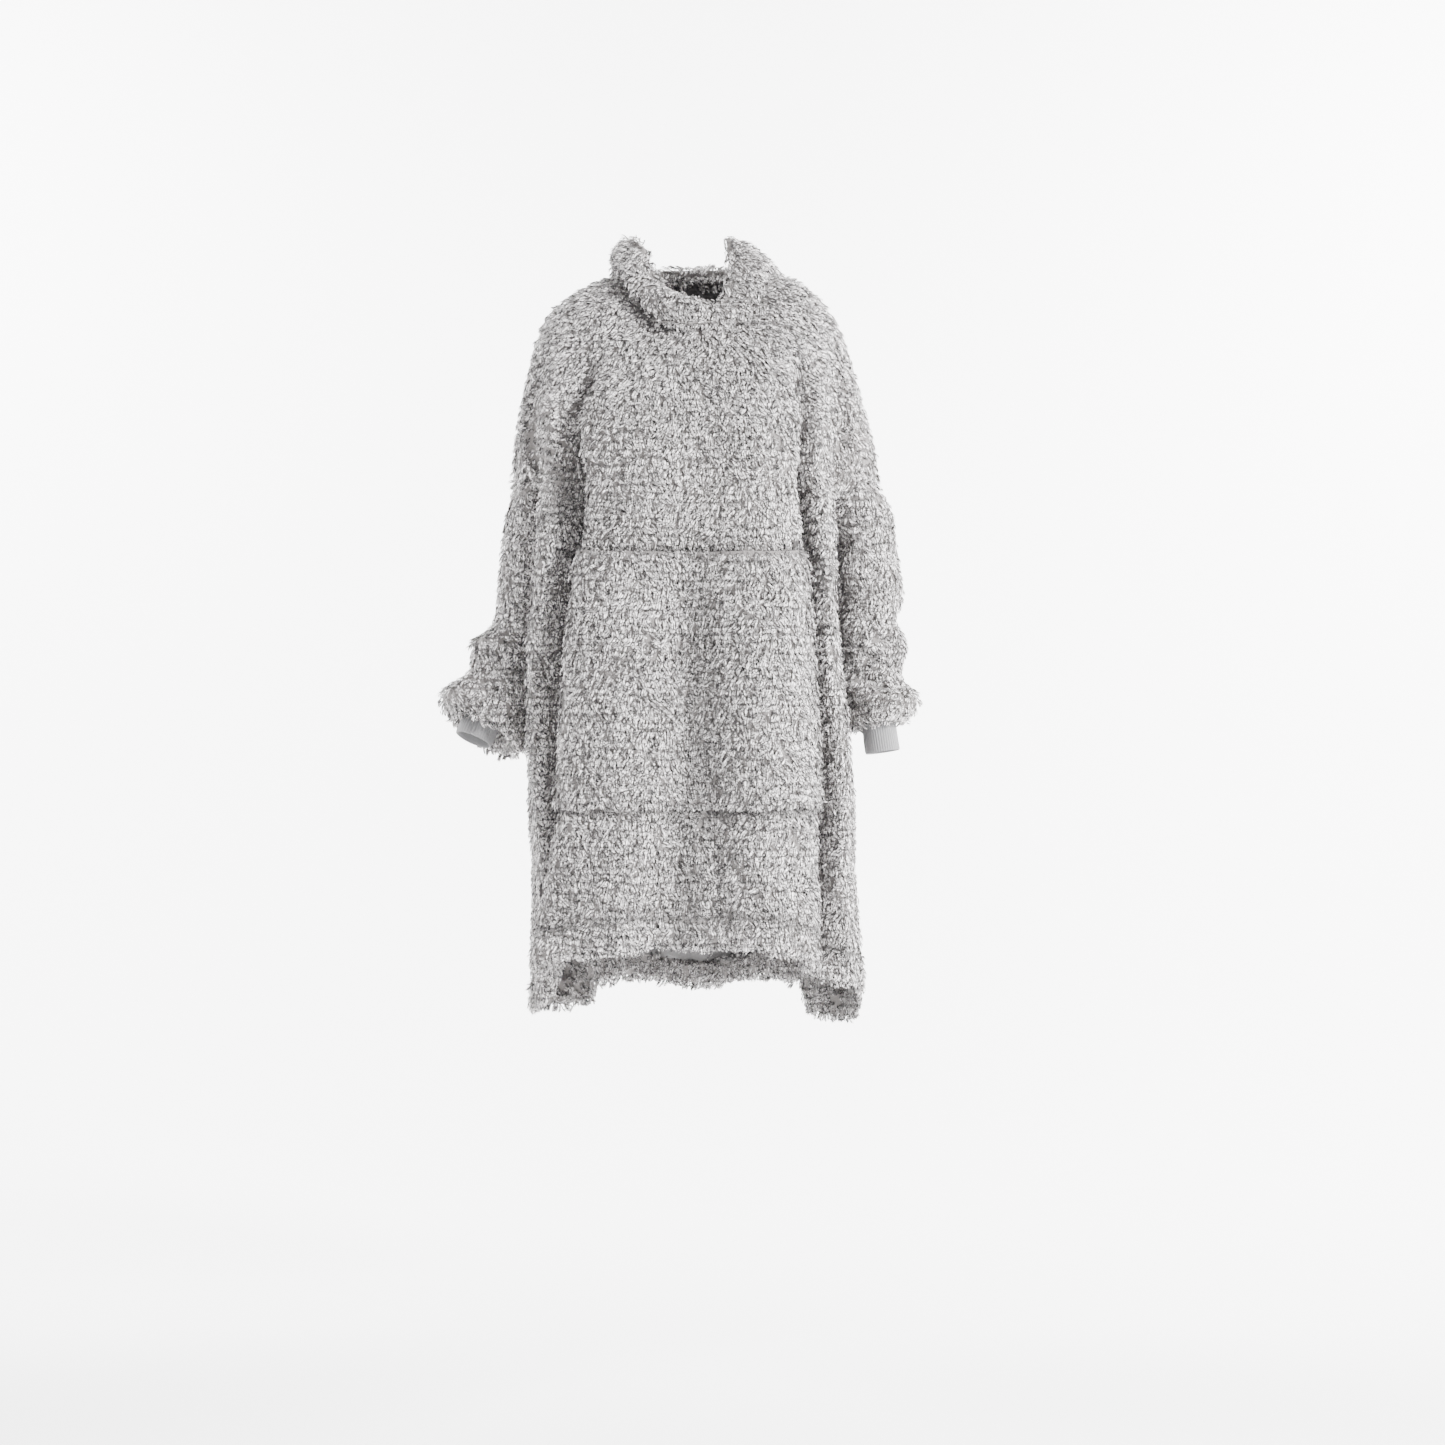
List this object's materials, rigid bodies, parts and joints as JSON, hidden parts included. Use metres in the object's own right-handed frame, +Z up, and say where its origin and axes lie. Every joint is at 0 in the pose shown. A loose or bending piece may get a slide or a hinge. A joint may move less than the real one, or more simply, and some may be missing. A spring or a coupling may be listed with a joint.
{
  "type": "worn wearable blanket hoodie",
  "caption": "Oversized pullover blanket hoodie in pale warm grey sherpa fleece, hanging as worn, with hood down, dropped sleeves, ribbed cuffs and a wide pouch pocket.",
  "frame": {"origin": "on the neck's axis, level with the shoulders just below the side neck seams, where the wearer carries it", "axes": "+Z up, the front faces -Y, the wearer's left side is +X"},
  "size_m": [0.6526, 0.3833, 1.0878],
  "materials": {
    "sherpa": "long curly pile outside, smooth knit inside",
    "rib_knit": "ribbed jersey"
  },
  "bodies": {
    "root": {"front": "sherpa", "back": "sherpa", "pocket": "sherpa", "sleeve_left": "sherpa", "sleeve_right": "sherpa", "cuff_left": "rib_knit", "cuff_right": "rib_knit", "hood_left": "sherpa", "hood_right": "sherpa"}
  },
  "joints": []
}
